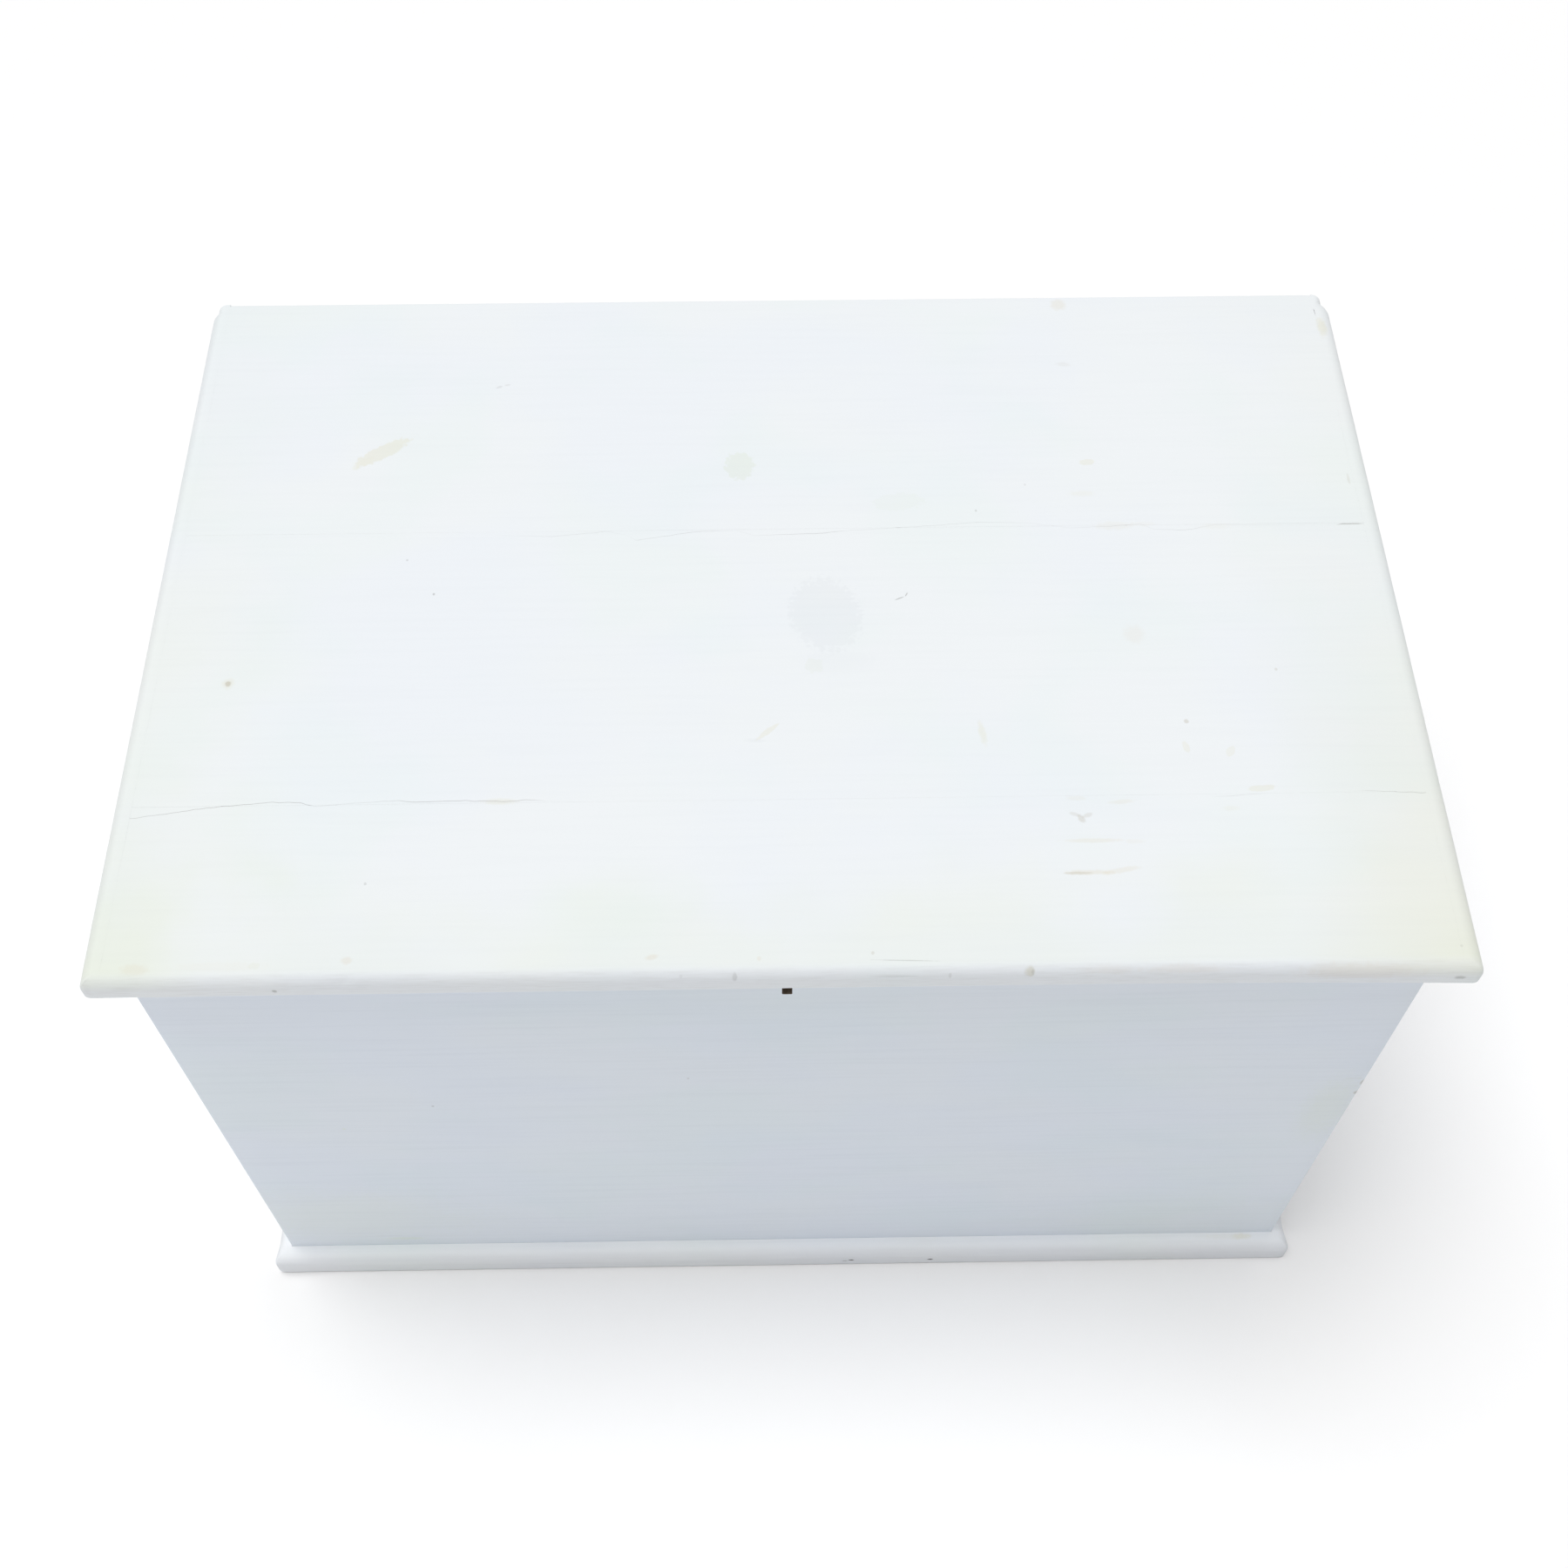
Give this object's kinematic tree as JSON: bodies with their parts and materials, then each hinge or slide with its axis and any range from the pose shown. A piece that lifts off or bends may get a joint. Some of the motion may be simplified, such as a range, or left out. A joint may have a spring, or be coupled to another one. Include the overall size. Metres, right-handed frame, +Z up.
{
  "type": "blanket chest",
  "caption": "Painted wooden blanket chest: a dovetailed board case on a low moulded plinth, an overhanging lid with a rounded nosing on butt hinges, and a box lock behind a keyhole.",
  "frame": {"origin": "on the floor, under the middle of the lid", "axes": "+X to the right of someone facing the keyhole, +Y to the back, +Z up"},
  "size_m": [0.864, 0.59, 0.536],
  "materials": {
    "painted_wood": "aged white paint, satin",
    "bare_wood": "bare planed pine",
    "iron": "dark, dull",
    "brass": "dull",
    "steel": "dull"
  },
  "bodies": {
    "case": {"front_board_lower": "painted_wood", "front_board_upper": "painted_wood", "back_board_lower": "painted_wood", "back_board_upper": "painted_wood", "left_end_board_lower": "painted_wood", "left_end_board_upper": "painted_wood", "right_end_board_lower": "painted_wood", "right_end_board_upper": "painted_wood", "plinth_front": "painted_wood", "plinth_left": "painted_wood", "plinth_right": "painted_wood", "bottom_board_front": "bare_wood", "bottom_board_middle": "bare_wood", "bottom_board_rear": "bare_wood", "hinge_leaf_case_left": "iron", "hinge_leaf_case_right": "iron", "lock_back_plate": "iron", "lock_cap": "iron", "lock_key_pin": "brass", "hinge_pin_left": "steel", "hinge_pin_right": "steel", "hinge_screws_case": "steel", "lock_screws": "steel", "bottom_nails": "steel", "plinth_nails": "steel"},
    "lid": {"lid_board_front": "painted_wood", "lid_board_middle": "painted_wood", "lid_board_rear": "painted_wood", "nosing_front": "painted_wood", "nosing_left": "painted_wood", "nosing_right": "painted_wood", "lid_batten_left": "bare_wood", "lid_batten_right": "bare_wood", "nosing_nails": "steel", "batten_screws": "steel", "hinge_leaf_lid_left": "iron", "hinge_leaf_lid_right": "iron", "hinge_screws_lid": "steel", "strike_plate": "iron", "strike_screws": "steel"},
    "lock_bolt": {"lock_bolt": "brass", "bolt_spring": "steel"}
  },
  "joints": [
    {"name": "lid_hinge", "type": "hinge", "parent": "case", "child": "lid", "pos_m": [0, 0.281, 0.516], "axis": [-1, 0, 0], "range_deg": [0, 105]},
    {"name": "bolt_slide", "type": "slide", "parent": "case", "child": "lock_bolt", "axis": [1, 0, 0], "range_m": [0, 0.008]}
  ]
}
